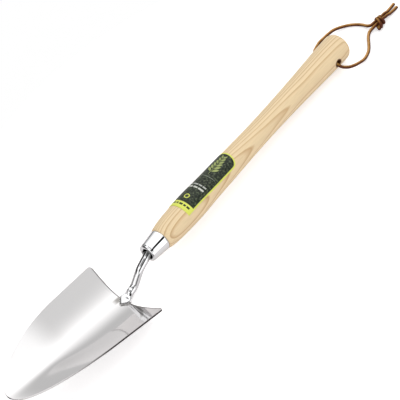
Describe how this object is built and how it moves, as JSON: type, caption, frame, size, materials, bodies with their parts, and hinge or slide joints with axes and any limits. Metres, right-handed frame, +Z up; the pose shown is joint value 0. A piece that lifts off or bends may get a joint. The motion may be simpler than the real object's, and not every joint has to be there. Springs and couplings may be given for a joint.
{
  "type": "garden trowel",
  "caption": "Garden trowel with a pressed steel blade, swan neck and ferrule on a long turned ash handle, with a leather hanging lace.",
  "frame": {"origin": "on the ground, below the middle of the trowel without its lace, as it lies open side up on the blade's heel and the butt", "axes": "+X along the tool from the blade's tip to the butt and the lace, +Y across it, +Z up"},
  "size_m": [0.5642, 0.083, 0.0476],
  "materials": {
    "polished_steel": "polished stainless sheet, soft reflections",
    "forged_steel": "bright polished stainless bar",
    "weld_steel": "dressed weld",
    "ferrule_steel": "mirror polished stainless tube",
    "ash_wood": "turned ash, clear satin lacquer",
    "label_film": "printed film, satin",
    "lace_leather": "round waxed tan leather lace"
  },
  "bodies": {
    "trowel": {"handle": "ash_wood", "blade": "polished_steel", "neck": "forged_steel", "weld_bead": "weld_steel", "ferrule": "ferrule_steel", "label": "label_film"},
    "lace": {"lace_loop": "lace_leather", "lace_knot": "lace_leather", "lace_tail_left": "lace_leather", "lace_tail_right": "lace_leather"}
  },
  "joints": [
    {"name": "lace_swing", "type": "hinge", "parent": "trowel", "child": "lace", "pos_m": [0.22064, 0, 0.01471], "axis": [-0.0053, 0.9945, -0.1044], "range_deg": [-155, 155]}
  ]
}
